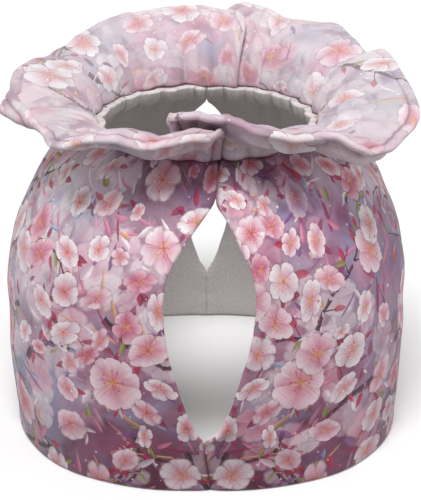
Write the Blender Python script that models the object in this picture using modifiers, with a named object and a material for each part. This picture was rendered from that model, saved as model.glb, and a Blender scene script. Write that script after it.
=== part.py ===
"""Tea cosy: two mirrored body panels and a two-part ruffle, standing on its hem.

Metres, +Z up. The origin is the centre of the hem on the ground plane, the front slit faces -Y and the
back slit faces +Y. Azimuths are in degrees from the front (-Y), positive towards the piece's own side.
"""
import math

import bpy

MM = 0.001

# ---- driving sizes -------------------------------------------------------------------------------------
NECK_HEIGHT = 133.5 * MM        # top edge of the body panels, where the ruffle is gathered on
PANEL_THICKNESS = 3.0 * MM      # padded body cloth
RUFFLE_THICKNESS = 2.4 * MM     # doubled ruffle cloth
SEAM_GAP = 0.5 * MM             # between the two panels along the centre seams
NECK_GAP = 0.85 * MM            # between the top edge of the panels and the ruffle's middle line
RUFFLE_RISE = 13.0 * MM         # the ruffle stands at least this high before it droops to its rim
GATHER_DEPTH = 1.1 * MM         # how far the gathers stand in and out at the neck
GATHER_FADE = 34.0 * MM         # they die out this far below the neck
GATHERS_ROUND = 23              # gathers in the whole neck
CORNER_ROUND = 9.0              # degrees of azimuth over which a ruffle end is rounded off
CORNER_CUT = 0.45               # share of the ruffle's width that the rounding takes away at the very end
PANEL_COLUMNS = 34              # facets round one panel
RUFFLE_COLUMNS = 60             # facets along one ruffle strip
RUFFLE_ROWS = 6                 # facets across the ruffle's width

# Body sections: height, outer radius, squareness of the plan (2 is a circle).
BODY = [dict(height=h * MM, radius=r * MM, squareness=s) for h, r, s in (
    (0.0, 85.3, 2.43),
    (4.0, 85.3, 2.43),
    (15.0, 86.3, 2.37),
    (35.0, 87.8, 2.30),
    (60.0, 88.2, 2.20),
    (85.0, 84.9, 2.11),
    (105.0, 76.9, 2.04),
    (120.0, 67.6, 2.00),
    (125.0, 63.0, 2.00),
    (129.0, 57.4, 2.00),
    (131.5, 52.6, 2.00),
    (132.4, 50.8, 2.00),
    (133.5, 50.8, 2.00),
)]

# Front centre seam and its slit: height, sideways wander of the middle, half width of the opening.
FRONT_SLIT = [dict(height=h * MM, middle=m * MM, half=w * MM) for h, m, w in (
    (0.0, 1.6, 0.0),
    (4.0, 1.2, 0.0),
    (13.0, 0.0, 0.0),
    (22.4, -1.2, 0.0),
    (29.0, -0.4, 4.3),
    (37.0, 0.0, 7.6),
    (45.0, 0.2, 10.4),
    (54.0, 0.4, 13.0),
    (63.0, 0.7, 15.6),
    (74.0, 1.0, 17.6),
    (85.0, 1.2, 18.5),
    (94.5, 1.2, 17.4),
    (105.0, 1.7, 12.4),
    (115.5, 2.7, 5.8),
    (124.0, 3.8, 0.0),
    (129.0, 4.6, 0.0),
    (131.5, 5.0, 0.0),
    (132.4, 5.2, 0.0),
    (133.5, 5.2, 0.0),
)]

# Back centre seam and its slit, for the handle.
BACK_SLIT = [dict(height=r["height"], middle=0.0, half=0.85 * r["half"]) for r in FRONT_SLIT]

# How far the slit edges turn outwards: height, left and right edge at the front, both edges at the back.
SLIT_TURN = [dict(height=h * MM, left=a * MM, right=b * MM, back=c * MM) for h, a, b, c in (
    (0.0, 0.0, 0.0, 0.0),
    (22.4, 0.0, 0.0, 0.0),
    (29.0, 0.6, 3.0, 0.6),
    (37.0, 1.0, 3.0, 1.2),
    (45.0, 1.2, 2.4, 1.8),
    (63.0, 1.6, 1.6, 2.2),
    (85.0, 2.0, 2.0, 1.6),
    (105.0, 1.4, 1.4, 1.0),
    (124.0, 0.0, 0.0, 0.0),
    (133.5, 0.0, 0.0, 0.0),
)]
TURN_REACH = 9.0 * MM           # the turned edge reaches this far back from the slit

# Ruffle strips, one row a fold: azimuth, radius of the gathered base, radius and height of the rim.
RUFFLE_LEFT = [dict(azimuth=a, base=b * MM, rim=r * MM, height=h * MM) for a, b, r, h in (
    (-7.0, 49.3, 75.0, 153.6),
    (0.0, 49.3, 77.5, 154.2),
    (10.5, 49.3, 78.5, 152.4),
    (18.0, 49.3, 81.0, 149.6),
    (26.0, 49.3, 85.5, 152.0),
    (32.5, 49.3, 88.5, 152.8),
    (38.5, 49.3, 91.0, 148.0),
    (45.0, 49.3, 88.5, 143.5),
    (54.5, 49.3, 84.5, 148.4),
    (63.0, 49.3, 87.0, 149.0),
    (72.5, 49.3, 88.0, 150.2),
    (84.0, 49.3, 83.5, 153.4),
    (102.0, 49.3, 79.5, 154.6),
    (112.0, 49.3, 75.5, 153.2),
    (124.0, 49.3, 75.5, 154.8),
    (137.0, 49.3, 80.0, 156.4),
    (147.5, 49.3, 84.0, 157.6),
    (158.0, 49.3, 85.0, 159.0),
    (168.0, 49.3, 82.0, 160.4),
    (175.0, 47.9, 79.5, 161.2),
    (181.0, 46.1, 76.5, 161.6),
    (187.0, 45.9, 73.0, 161.8),
    (198.0, 45.9, 71.5, 161.4),
)]
RUFFLE_RIGHT = [dict(azimuth=a, base=b * MM, rim=r * MM, height=h * MM) for a, b, r, h in (
    (-16.5, 45.9, 66.5, 158.6),
    (-9.0, 45.9, 67.5, 159.8),
    (0.0, 45.9, 67.5, 159.6),
    (7.0, 45.9, 68.0, 158.4),
    (11.0, 46.3, 71.5, 155.8),
    (15.0, 47.9, 78.5, 154.6),
    (20.0, 49.3, 81.0, 153.6),
    (25.0, 49.3, 84.0, 152.4),
    (33.5, 49.3, 89.5, 152.4),
    (39.0, 49.3, 95.0, 148.2),
    (44.0, 49.3, 96.0, 144.2),
    (49.0, 49.3, 97.0, 144.0),
    (55.0, 49.3, 96.0, 144.8),
    (61.5, 49.3, 95.5, 146.2),
    (67.0, 49.3, 94.5, 148.2),
    (73.5, 49.3, 91.5, 150.2),
    (84.0, 49.3, 86.0, 152.6),
    (92.0, 49.3, 83.0, 155.8),
    (104.0, 49.3, 81.0, 157.8),
    (111.0, 49.3, 77.5, 154.0),
    (121.0, 49.3, 77.0, 157.2),
    (131.5, 49.3, 80.0, 160.2),
    (138.0, 49.3, 74.5, 160.4),
    (145.0, 49.3, 73.0, 160.0),
    (153.5, 49.3, 75.5, 160.6),
    (162.0, 49.3, 83.0, 161.0),
    (169.5, 49.3, 88.5, 160.8),
    (176.0, 49.3, 89.0, 160.4),
)]


# ---- reading the tables --------------------------------------------------------------------------------
def read(rows, key, name, x):
    """Value of column `name` at `x` of column `key`, on a smooth curve that never overshoots the rows."""
    xs = [r[key] for r in rows]
    ys = [r[name] for r in rows]
    if x <= xs[0]:
        return ys[0]
    if x >= xs[-1]:
        return ys[-1]
    slopes = [(ys[i + 1] - ys[i]) / (xs[i + 1] - xs[i]) for i in range(len(xs) - 1)]
    tangents = [slopes[0]]
    for a, b in zip(slopes, slopes[1:]):
        tangents.append(0.0 if a * b <= 0 else 2 * a * b / (a + b))
    tangents.append(slopes[-1])
    i = max(k for k in range(len(xs) - 1) if xs[k] <= x)
    step = xs[i + 1] - xs[i]
    t = (x - xs[i]) / step
    return ((2 * t ** 3 - 3 * t ** 2 + 1) * ys[i] + (t ** 3 - 2 * t ** 2 + t) * step * tangents[i]
            + (3 * t ** 2 - 2 * t ** 3) * ys[i + 1] + (t ** 3 - t ** 2) * step * tangents[i + 1])


def smooth(t):
    t = min(1.0, max(0.0, t))
    return t * t * (3 - 2 * t)


def gather(azimuth):
    """Uneven wave of the gathers round the neck, from -1 to 1; azimuth in radians from the front."""
    drift = 0.9 * math.sin(3 * azimuth + 0.4) + 0.5 * math.sin(5 * azimuth)
    return math.cos(GATHERS_ROUND * azimuth + drift) * (0.75 + 0.25 * math.sin(4 * azimuth + 1.0))


# ---- body ----------------------------------------------------------------------------------------------
def body_radius(azimuth, height):
    squareness = read(BODY, "height", "squareness", height)
    plan = (abs(math.cos(azimuth)) ** squareness + abs(math.sin(azimuth)) ** squareness) ** (-1 / squareness)
    fade = smooth(1 - (NECK_HEIGHT - height) / GATHER_FADE)
    return read(BODY, "height", "radius", height) * plan + GATHER_DEPTH * fade * gather(azimuth)


def panel(name, side):
    """One body panel; side is -1 for the left and 1 for the right, seen from the front."""
    heights = [r["height"] for r in FRONT_SLIT]
    points, faces = [], []
    for height in heights:
        radius = read(BODY, "height", "radius", height)
        front = read(FRONT_SLIT, "height", "middle", height) * side + read(FRONT_SLIT, "height", "half", height)
        back = read(BACK_SLIT, "height", "middle", height) * side + read(BACK_SLIT, "height", "half", height)
        start = math.asin((front + SEAM_GAP / 2) / radius)
        end = math.pi - math.asin((back + SEAM_GAP / 2) / radius)
        turn_front = read(SLIT_TURN, "height", "right" if side > 0 else "left", height)
        turn_back = read(SLIT_TURN, "height", "back", height)
        for i in range(PANEL_COLUMNS + 1):
            s = i / PANEL_COLUMNS
            s -= 0.11 * math.sin(2 * math.pi * s)     # narrower facets beside the slits
            azimuth = start + (end - start) * s
            r = (body_radius(azimuth * side, height)
                 + turn_front * (1 - smooth((azimuth - start) * radius / TURN_REACH))
                 + turn_back * (1 - smooth((end - azimuth) * radius / TURN_REACH)))
            points.append((side * r * math.sin(azimuth), -r * math.cos(azimuth), height))
    width = PANEL_COLUMNS + 1
    for j in range(len(heights) - 1):
        for i in range(PANEL_COLUMNS):
            a, b = j * width + i, (j + 1) * width + i
            faces.append((a, a + 1, b + 1, b) if side > 0 else (a, b, b + 1, a + 1))
    return sheet(name, points, faces, PANEL_THICKNESS, -1.0)


# ---- ruffle --------------------------------------------------------------------------------------------
def ruffle(name, side, rows):
    """One ruffle strip: it rises from its gathered base and splays out to its uneven rim."""
    first, last = rows[0]["azimuth"], rows[-1]["azimuth"]
    low = NECK_HEIGHT + NECK_GAP
    points, faces = [], []
    for j in range(RUFFLE_ROWS + 1):
        t = j / RUFFLE_ROWS
        for i in range(RUFFLE_COLUMNS + 1):
            degrees = first + (last - first) * i / RUFFLE_COLUMNS
            azimuth = math.radians(degrees)
            from_end = min(degrees - first, last - degrees) / CORNER_ROUND
            cut = CORNER_CUT * (1 - math.sqrt(max(0.0, 1 - (1 - min(1.0, from_end)) ** 2)))
            k = t * (1 - cut)
            base = read(rows, "azimuth", "base", degrees) + GATHER_DEPTH * gather(azimuth * side)
            rim = read(rows, "azimuth", "rim", degrees)
            high = read(rows, "azimuth", "height", degrees)
            out, up = rim - base, high - low
            # A cubic curve: straight up out of the gathers, then bending outwards to the rim.
            rise = max(RUFFLE_RISE, up)
            radii = (base, base, base + 0.40 * out, rim)
            levels = (low, low + 0.42 * rise, low + 0.95 * rise, high)
            r, z = (sum(c * p for c, p in zip(
                ((1 - k) ** 3, 3 * k * (1 - k) ** 2, 3 * k * k * (1 - k), k ** 3), column))
                for column in (radii, levels))
            points.append((side * r * math.sin(azimuth), -r * math.cos(azimuth), z))
    width = RUFFLE_COLUMNS + 1
    for j in range(RUFFLE_ROWS):
        for i in range(RUFFLE_COLUMNS):
            a, b = j * width + i, (j + 1) * width + i
            faces.append((a, a + 1, b + 1, b) if side > 0 else (a, b, b + 1, a + 1))
    return sheet(name, points, faces, RUFFLE_THICKNESS, 0.0)


# ---- objects -------------------------------------------------------------------------------------------
def cloth_material(name, colour, roughness):
    material = bpy.data.materials.new(name)
    material.use_nodes = True
    shader = material.node_tree.nodes["Principled BSDF"]
    shader.inputs["Base Color"].default_value = (*colour, 1.0)
    shader.inputs["Roughness"].default_value = roughness
    shader.inputs["Metallic"].default_value = 0.0
    material.diffuse_color = (*colour, 1.0)
    return material


def sheet(name, points, faces, thickness, offset):
    """An open surface given its thickness by Solidify, in the object's collection."""
    mesh = bpy.data.meshes.new(name)
    mesh.from_pydata(points, [], faces)
    mesh.shade_smooth()
    obj = bpy.data.objects.new(name, mesh)
    collection.objects.link(obj)
    solid = obj.modifiers.new("Thickness", "SOLIDIFY")
    solid.thickness = thickness
    solid.offset = offset
    return obj


for old in list(bpy.data.objects):
    bpy.data.objects.remove(old, do_unlink=True)
collection = bpy.data.collections.new("tea_cosy")
bpy.context.scene.collection.children.link(collection)

parts = (
    (panel("panel_left", -1), (0.70, 0.47, 0.55)),
    (panel("panel_right", 1), (0.69, 0.46, 0.55)),
    (ruffle("ruffle_left", -1, RUFFLE_LEFT), (0.80, 0.66, 0.70)),
    (ruffle("ruffle_right", 1, RUFFLE_RIGHT), (0.80, 0.65, 0.70)),
)
for obj, colour in parts:
    obj.data.materials.append(cloth_material(obj.name + "_cloth", colour, 0.85))
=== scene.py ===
"""Looks of the tea cosy: printed padded panels, a doubled ruffle with a topstitched rolled edge, soft light.

Metres in the scene, millimetres in the tables. The front slit faces -Y.
"""
import math

import bpy
import numpy as np
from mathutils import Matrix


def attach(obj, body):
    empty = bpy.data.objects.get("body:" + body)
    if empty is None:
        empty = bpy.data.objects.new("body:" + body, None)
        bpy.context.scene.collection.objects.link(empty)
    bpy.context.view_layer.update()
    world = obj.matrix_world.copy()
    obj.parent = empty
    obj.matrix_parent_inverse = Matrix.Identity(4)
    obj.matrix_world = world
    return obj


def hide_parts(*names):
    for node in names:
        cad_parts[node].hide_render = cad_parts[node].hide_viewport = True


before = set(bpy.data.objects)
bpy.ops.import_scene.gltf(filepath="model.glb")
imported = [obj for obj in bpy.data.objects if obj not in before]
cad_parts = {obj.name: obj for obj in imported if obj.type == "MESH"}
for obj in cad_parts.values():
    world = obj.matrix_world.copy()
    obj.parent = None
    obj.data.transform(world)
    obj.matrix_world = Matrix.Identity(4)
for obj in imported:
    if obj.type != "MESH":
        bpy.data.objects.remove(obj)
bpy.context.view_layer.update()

MM = 0.001
rad = np.radians


# =========================================================================================================
#  Shape tables (millimetres, degrees): the solids' sizes, with the ruffle's front rim a little lower and its
#  left lobe curled, as the cloth hangs
# =========================================================================================================
NECK = 133.5
PANEL_THICK = 3.0
RUFFLE_THICK = 2.3
GATHER_DEPTH, GATHER_FADE, GATHERS = 1.1, 34.0, 23

# height, outer radius, squareness of the plan
BODY = np.array([
    (0.0, 85.3, 2.43), (4.0, 85.3, 2.43), (15.0, 86.3, 2.37), (35.0, 87.8, 2.30), (60.0, 88.2, 2.20),
    (85.0, 84.9, 2.11), (105.0, 76.9, 2.04), (120.0, 67.6, 2.00), (125.0, 63.0, 2.00), (129.0, 57.4, 2.00),
    (131.5, 52.6, 2.00), (132.4, 50.8, 2.00), (133.5, 50.8, 2.00)])
# height, sideways wander of the seam, half width of the slit
SLIT = np.array([
    (0.0, 1.6, 0.0), (4.0, 1.2, 0.0), (13.0, 0.0, 0.0), (22.4, -1.2, 0.0), (29.0, -0.4, 4.3), (37.0, 0.0, 7.6),
    (45.0, 0.2, 10.4), (54.0, 0.4, 13.0), (63.0, 0.7, 15.6), (74.0, 1.0, 17.6), (85.0, 1.2, 18.5),
    (94.5, 1.2, 17.4), (105.0, 1.7, 12.4), (115.5, 2.7, 5.8), (124.0, 3.8, 0.0), (129.0, 4.6, 0.0),
    (131.5, 5.0, 0.0), (132.4, 5.2, 0.0), (133.5, 5.2, 0.0)])
# height, outward turn of the left, right and both back slit edges
TURN = np.array([
    (0.0, 0.0, 0.0, 0.0), (22.4, 0.0, 0.0, 0.0), (29.0, 0.6, 3.0, 0.6), (37.0, 1.0, 3.0, 1.2),
    (45.0, 1.2, 2.4, 1.8), (63.0, 1.6, 1.6, 2.2), (85.0, 2.0, 2.0, 1.6), (105.0, 1.4, 1.4, 1.0),
    (124.0, 0.0, 0.0, 0.0), (133.5, 0.0, 0.0, 0.0)])
TURN_REACH = 9.0

# azimuth from the front towards the strip's own side, base radius, rim radius, rim height
RUFFLE_LEFT = np.array([
    (-7.0, 49.3, 75.0, 152.2), (0.0, 49.3, 77.5, 152.6), (10.5, 49.3, 78.5, 151.0), (18.0, 49.3, 81.0, 148.8),
    (26.0, 49.3, 85.5, 152.0), (32.5, 49.3, 88.5, 151.6), (38.5, 49.3, 90.0, 147.6), (45.0, 49.3, 88.0, 144.6),
    (54.5, 49.3, 83.0, 149.4), (63.0, 49.3, 81.5, 152.0), (72.5, 49.3, 81.5, 152.4), (84.0, 49.3, 83.5, 153.4),
    (102.0, 49.3, 79.5, 154.6), (112.0, 49.3, 75.5, 153.2), (124.0, 49.3, 75.5, 154.8), (137.0, 49.3, 80.0, 156.4),
    (147.5, 49.3, 84.0, 157.6), (158.0, 49.3, 85.0, 159.0), (168.0, 49.3, 82.0, 160.4), (175.0, 47.9, 79.5, 161.2),
    (181.0, 46.1, 76.5, 161.6), (187.0, 45.9, 73.0, 161.8), (198.0, 45.9, 71.5, 161.4)])
RUFFLE_RIGHT = np.array([
    (-16.5, 45.9, 66.5, 157.4), (-9.0, 45.9, 67.5, 158.6), (0.0, 45.9, 67.5, 158.4), (7.0, 46.4, 68.0, 157.2),
    (11.0, 48.7, 71.5, 155.8), (15.0, 49.3, 78.5, 154.6), (20.0, 49.3, 81.0, 153.6), (25.0, 49.3, 84.0, 152.4),
    (33.5, 49.3, 89.5, 152.4), (39.0, 49.3, 95.0, 148.2), (44.0, 49.3, 96.0, 144.2), (49.0, 49.3, 97.0, 144.0),
    (55.0, 49.3, 96.0, 144.8), (61.5, 49.3, 95.5, 146.2), (67.0, 49.3, 94.5, 148.2), (73.5, 49.3, 91.5, 150.2),
    (84.0, 49.3, 86.0, 152.6), (92.0, 49.3, 83.0, 155.8), (104.0, 49.3, 81.0, 157.8), (111.0, 49.3, 77.5, 154.0),
    (121.0, 49.3, 77.0, 157.2), (131.5, 49.3, 80.0, 160.2), (138.0, 49.3, 74.5, 160.4), (145.0, 49.3, 73.0, 160.0),
    (153.5, 49.3, 75.5, 160.6), (162.0, 49.3, 83.0, 161.0), (169.5, 49.3, 88.5, 160.8), (176.0, 49.3, 89.0, 160.4)])

# Azimuth, how far the front flaps rise before their rims; then how far the left lobe bulges beyond its rim
CREST = {-1: np.array([(-40.0, 1.0), (-7.0, 1.6), (12.0, 2.2), (30.0, 1.8), (42.0, 0.8), (54.0, 0.0), (200.0, 0.0)]),
         1: np.array([(-40.0, 0.0), (0.0, 0.4), (16.0, 1.6), (32.0, 1.6), (44.0, 0.6), (60.0, 0.0), (200.0, 0.0)])}
# Azimuth, how far the outer layer of the doubled strip hangs away from the inner one beyond the stitches
HANG = {-1: np.array([(-40.0, 2.5), (-7.0, 3.8), (4.0, 5.4), (14.0, 6.2), (25.0, 5.0), (36.0, 3.0), (48.0, 1.2), (58.0, 0.0), (200.0, 0.0)]),
        1: np.array([(-40.0, 0.0), (2.0, 0.6), (11.0, 4.2), (20.0, 6.0), (33.0, 6.2), (45.0, 5.4), (55.0, 4.4), (63.0, 1.6), (72.0, 0.0), (200.0, 0.0)])}
CURL = np.array([(-40.0, 0.0), (45.0, 0.0), (54.5, 6.0), (63.0, 12.0), (72.5, 15.0), (80.0, 5.0), (86.0, 0.0), (200.0, 0.0)])

# Soft creases of the body cloth: side, azimuth and height of both ends, depth (negative is a ridge), half width
CREASES = [
    (-1, 29.0, 131.0, 20.0, 98.0, 0.9, 2.6), (-1, 12.0, 130.0, 12.0, 112.0, 0.6, 2.2),
    (-1, 47.0, 131.0, 41.0, 108.0, 0.8, 3.0), (-1, 63.0, 130.0, 66.0, 100.0, 0.9, 3.4),
    (-1, 84.0, 130.0, 80.0, 104.0, 0.7, 3.0), (-1, 112.0, 130.0, 118.0, 96.0, 0.9, 3.6),
    (-1, 139.0, 130.0, 134.0, 103.0, 0.8, 3.0), (-1, 164.0, 130.0, 160.0, 108.0, 0.7, 2.6),
    (-1, 14.0, 30.0, 46.0, 12.0, 0.6, 5.0), (-1, 52.0, 62.0, 88.0, 48.0, 0.6, 7.0),
    (1, 15.0, 130.0, 17.0, 108.0, 0.8, 2.6), (1, 34.0, 131.0, 30.0, 104.0, 0.9, 3.0),
    (1, 52.0, 130.0, 57.0, 101.0, 0.8, 3.2), (1, 75.0, 130.0, 72.0, 108.0, 0.7, 3.0),
    (1, 98.0, 130.0, 103.0, 98.0, 0.9, 3.4), (1, 127.0, 130.0, 122.0, 101.0, 0.8, 3.2),
    (1, 152.0, 130.0, 156.0, 104.0, 0.8, 2.8), (1, 13.0, 34.0, 40.0, 22.0, 0.6, 5.0),
    (1, 60.0, 66.0, 92.0, 55.0, 0.5, 7.0),
]


def read(table, x, column=1):
    """Column of a table at x, on a smooth curve that never overshoots the rows."""
    xs, ys = table[:, 0], table[:, column]
    x = np.clip(np.asarray(x, float), xs[0], xs[-1])
    step = np.diff(xs)
    slope = np.diff(ys) / step
    a, b = slope[:-1], slope[1:]
    inner = np.where(a * b > 0, 2 * a * b / np.where(np.abs(a + b) > 1e-12, a + b, 1.0), 0.0)
    tangent = np.concatenate([[slope[0]], inner, [slope[-1]]])
    i = np.clip(np.searchsorted(xs, x, side="right") - 1, 0, len(xs) - 2)
    h = step[i]
    t = (x - xs[i]) / h
    return ((2 * t ** 3 - 3 * t ** 2 + 1) * ys[i] + (t ** 3 - 2 * t ** 2 + t) * h * tangent[i]
            + (3 * t ** 2 - 2 * t ** 3) * ys[i + 1] + (t ** 3 - t ** 2) * h * tangent[i + 1])


def smooth(t):
    t = np.clip(t, 0.0, 1.0)
    return t * t * (3 - 2 * t)


def bump(x, width):
    return np.exp(-(x / width) ** 2)


def gather(azimuth):
    drift = 0.9 * np.sin(3 * azimuth + 0.4) + 0.5 * np.sin(5 * azimuth)
    return np.cos(GATHERS * azimuth + drift) * (0.75 + 0.25 * np.sin(4 * azimuth + 1.0))


def small_gather(azimuth):
    return (0.6 * np.cos(41 * azimuth + 1.7 * np.sin(4 * azimuth)) + 0.4 * np.cos(59 * azimuth + 2.1 * np.sin(3 * azimuth + 1)))


# =========================================================================================================
#  Cloth sheets: a grid of points on the middle surface, thickened, rounded at its edges and closed
# =========================================================================================================
def normals_of(grid):
    du = np.gradient(grid, axis=1)
    dv = np.gradient(grid, axis=0)
    n = np.cross(du, dv)
    return n / np.maximum(np.linalg.norm(n, axis=2, keepdims=True), 1e-9)


def closed_sheet(name, outer, inner, flip):
    """Two grids (rows x columns x 3) that share their border points, as one closed mesh. The outer grid's faces
    come first, then the inner grid's."""
    rows, cols = outer.shape[:2]
    index_out = np.arange(rows * cols).reshape(rows, cols)
    index_in = index_out.copy()
    free = np.zeros((rows, cols), bool)
    free[1:-1, 1:-1] = True
    index_in[free] = rows * cols + np.arange(free.sum())
    border = ~free
    points = np.concatenate([outer.reshape(-1, 3), inner[free]])
    points[index_out[border]] = 0.5 * (outer[border] + inner[border])

    def quads(ix, turn):
        a, b, c, d = ix[:-1, :-1], ix[:-1, 1:], ix[1:, 1:], ix[1:, :-1]
        q = np.stack([a, b, c, d] if not turn else [a, d, c, b], axis=-1)
        return q.reshape(-1, 4)

    faces = np.concatenate([quads(index_out, flip), quads(index_in, not flip)])
    mesh = bpy.data.meshes.new(name)
    mesh.vertices.add(len(points))
    mesh.vertices.foreach_set("co", (points * MM).astype(np.float32).ravel())
    mesh.loops.add(faces.size)
    mesh.loops.foreach_set("vertex_index", faces.astype(np.int32).ravel())
    mesh.polygons.add(len(faces))
    mesh.polygons.foreach_set("loop_start", np.arange(0, faces.size, 4, dtype=np.int32))
    mesh.update(calc_edges=True)
    mesh.shade_smooth()
    obj = bpy.data.objects.new(name, mesh)
    bpy.context.scene.collection.objects.link(obj)
    return obj, (rows - 1) * (cols - 1)


def corner_order(values, turn):
    """Corner values of a grid's quads, in the order in which closed_sheet makes their corners."""
    a, b, c, d = values[:-1, :-1], values[:-1, 1:], values[1:, 1:], values[1:, :-1]
    q = np.stack([a, b, c, d] if not turn else [a, d, c, b], axis=2)
    return q.reshape((-1, 4) + values.shape[2:])


def graded(*stops):
    """Sorted line positions: each stop is (start, end, step)."""
    out = []
    for a, b, step in stops:
        n = max(1, int(round((b - a) / step)))
        out += list(np.linspace(a, b, n + 1))
    return np.unique(np.round(out, 5))


def round_edge(distance, half):
    k = 1 - np.clip(distance / half, 0, 1)
    return np.sqrt(np.maximum(0.0, 1 - k * k))


def flat_edge(distance, half, radius):
    """A sewn edge: its corners are rounded and its face is flat, to meet its neighbour."""
    k = 1 - np.clip(distance / radius, 0, 1)
    return 1 - radius / half * (1 - np.sqrt(np.maximum(0.0, 1 - k * k)))


EDGE = np.array([0.0, 0.04, 0.16, 0.36, 0.66, 1.0])      # spacing of the rounded edge's lines, in half thicknesses
FLAT = np.array([0.0, 0.02, 0.1, 0.25, 0.45, 0.7])       # and of a sewn edge's, in mm

PANEL_TOP = NECK + 0.45
MERIDIAN_Z = np.linspace(0, PANEL_TOP, 800)
MERIDIAN = np.concatenate([[0], np.cumsum(np.hypot(np.diff(MERIDIAN_Z), np.diff(read(BODY, MERIDIAN_Z))))])
PRINT_RADIUS = 86.0                                     # the panels' print runs round at this radius


def body_radius(azimuth, z, side):
    square = read(BODY, z, 2)
    plan = (np.abs(np.cos(azimuth)) ** square + np.abs(np.sin(azimuth)) ** square) ** (-1 / square)
    r = read(BODY, z, 1) * plan
    az = azimuth * side
    fade = smooth(1 - (NECK - z) / GATHER_FADE)
    r += GATHER_DEPTH * fade * gather(az)
    r += 0.5 * smooth(1 - (NECK - z) / 14.0) * small_gather(az)
    # Soft unevenness of padded cloth, none at the hem
    up = smooth(z / 30.0)
    r += up * (0.42 * np.sin(3.1 * az + 1.3) * np.sin(z / 19.0) + 0.34 * np.sin(5.3 * az + z / 23.0 + 0.7)
               + 0.22 * np.sin(8.7 * az - z / 13.0 + 2.0))
    r += (1 - up) * 0.35 * np.sin(9 * az + 0.5) * np.sin(4 * az)
    return r


def make_panel(name, side):
    half = PANEL_THICK / 2
    zs = np.unique(np.concatenate([
        EDGE * half, graded((half, 22.4, 1.9), (22.4, 124.0, 1.9), (124.0, PANEL_TOP - 1.2, 1.1)),
        PANEL_TOP - FLAT]))
    near = np.array([0.0, 0.02, 0.08, 0.22, 0.45, 0.75, 1.1, 1.5, 2.2, 3.2, 4.5, 6.1, 8.0])
    count = 128
    radius = read(BODY, zs, 1)
    middle, opening = read(SLIT, zs, 1), read(SLIT, zs, 2)
    gap = 0.01
    start = np.arcsin((middle * side + opening + gap) / radius)
    end = np.pi - np.arcsin((0.85 * opening + gap) / radius)
    arc = (end - start) * radius
    inner_lines = near[-1] + (arc[:, None] - 2 * near[-1]) * np.linspace(0, 1, count)[None, 1:-1]
    along = np.concatenate([np.repeat(near[None, :], len(zs), 0), inner_lines,
                            arc[:, None] - near[None, ::-1]], axis=1)       # mm from the front edge
    azimuth = start[:, None] + along / radius[:, None]
    z = np.repeat(zs[:, None], azimuth.shape[1], 1)
    from_back = arc[:, None] - along
    r = body_radius(azimuth, z, side)
    r += read(TURN, z, 1 if side < 0 else 2) * (1 - smooth(along / TURN_REACH))
    r += read(TURN, z, 3) * (1 - smooth(from_back / TURN_REACH))
    # The seams draw in a little, with small puckers; the slit edges are slightly wavy
    sewn = smooth(1 - opening[:, None] / 1.5)
    pucker = 0.5 + 0.22 * np.sin(z * 0.95 + 0.6 * np.sin(z * 0.31))
    r -= sewn * pucker * (bump(along, 3.2) + bump(from_back, 3.2))
    r += (1 - sewn) * 0.22 * np.sin(z * 0.62 + side) * (bump(along, 4.0) + bump(from_back, 4.0))
    for s, a0, z0, a1, z1, depth, width in CREASES:
        if s != side:
            continue
        x, x0, x1 = azimuth * 80.0, rad(a0) * 80.0, rad(a1) * 80.0
        dx, dz = x1 - x0, z1 - z0
        long2 = dx * dx + dz * dz
        t = np.clip(((x - x0) * dx + (z - z0) * dz) / long2, 0, 1)
        off = np.hypot(x - x0 - t * dx, z - z0 - t * dz)
        taper = smooth(t / 0.15 + 0.25) * smooth((1 - t) / 0.5)
        r -= 1.35 * depth * taper * (bump(off, width) - 0.60 * bump(off - 1.9 * width, width))
    outer = np.stack([side * r * np.sin(azimuth), -r * np.cos(azimuth), z], axis=2)
    n = normals_of(outer) * side
    n[zs < half * 1.01, :, 2] = 0.0
    # At a seam both panels' edges point straight inwards, so that they meet
    round_about = np.stack([side * np.cos(azimuth), np.sin(azimuth), np.zeros_like(azimuth)], axis=2)
    at_seam = np.minimum(1, sewn * (bump(along, 2.0) + bump(from_back, 2.0)))
    n -= round_about * ((n * round_about).sum(axis=2) * at_seam)[..., None]
    n /= np.linalg.norm(n, axis=2, keepdims=True)
    mid = outer - n * half
    mid[..., 2] = np.where(z < half * 1.01, z, mid[..., 2])

    def side_edge(d):
        return sewn * flat_edge(d, half, 1.0) + (1 - sewn) * round_edge(d, half)

    thick = PANEL_THICK * side_edge(along) * side_edge(from_back) * round_edge(z, half) * flat_edge(PANEL_TOP - z, half, 0.6)
    # The neck seam's allowance lies inside, as a soft ridge
    ridge = 3.1 * smooth((z - 127.0) / 4.5) * np.minimum(1, 0.35 + np.minimum(along, from_back) / 3.0)
    ridge *= 1 + 0.10 * np.sin(40 * azimuth * side)
    obj, n_outer = closed_sheet(name, mid + n * thick[..., None] / 2, mid - n * (thick / 2 + ridge)[..., None], side < 0)
    u = azimuth * PRINT_RADIUS
    v = np.interp(z, MERIDIAN_Z, MERIDIAN)
    uv = np.stack([u, v], axis=2)
    cut = np.trapz((np.pi - (middle * side + 1.85 * opening) / radius) * PRINT_RADIUS, v[:, 0])
    # Painted shade: darker along the sewn seams and at the neck, under the ruffle
    seam_shade = 1 - 0.45 * sewn * (bump(along, 0.8) + bump(from_back, 0.8)) - 0.5 * bump(PANEL_TOP - z, 1.6)
    size = (float(np.pi * PRINT_RADIUS) * MM, float(v.max()) * MM, float(cut) * MM * MM)
    return dict(obj=obj, uv=uv, turn=side < 0, n_outer=n_outer, azimuth=azimuth, z=z, size=size,
                seam_shade=seam_shade)


RUFFLE_LOW = NECK + 0.60
CORNER_ROUND, CORNER_CUT = 9.0, 0.45
HEM = 4.5                                              # the ruffle's turned and topstitched edge
ROLL, PINCH, LOFT = 3.2, 0.60, 2.7                     # thickness of the hem's roll, at the stitches and beyond them


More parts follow.
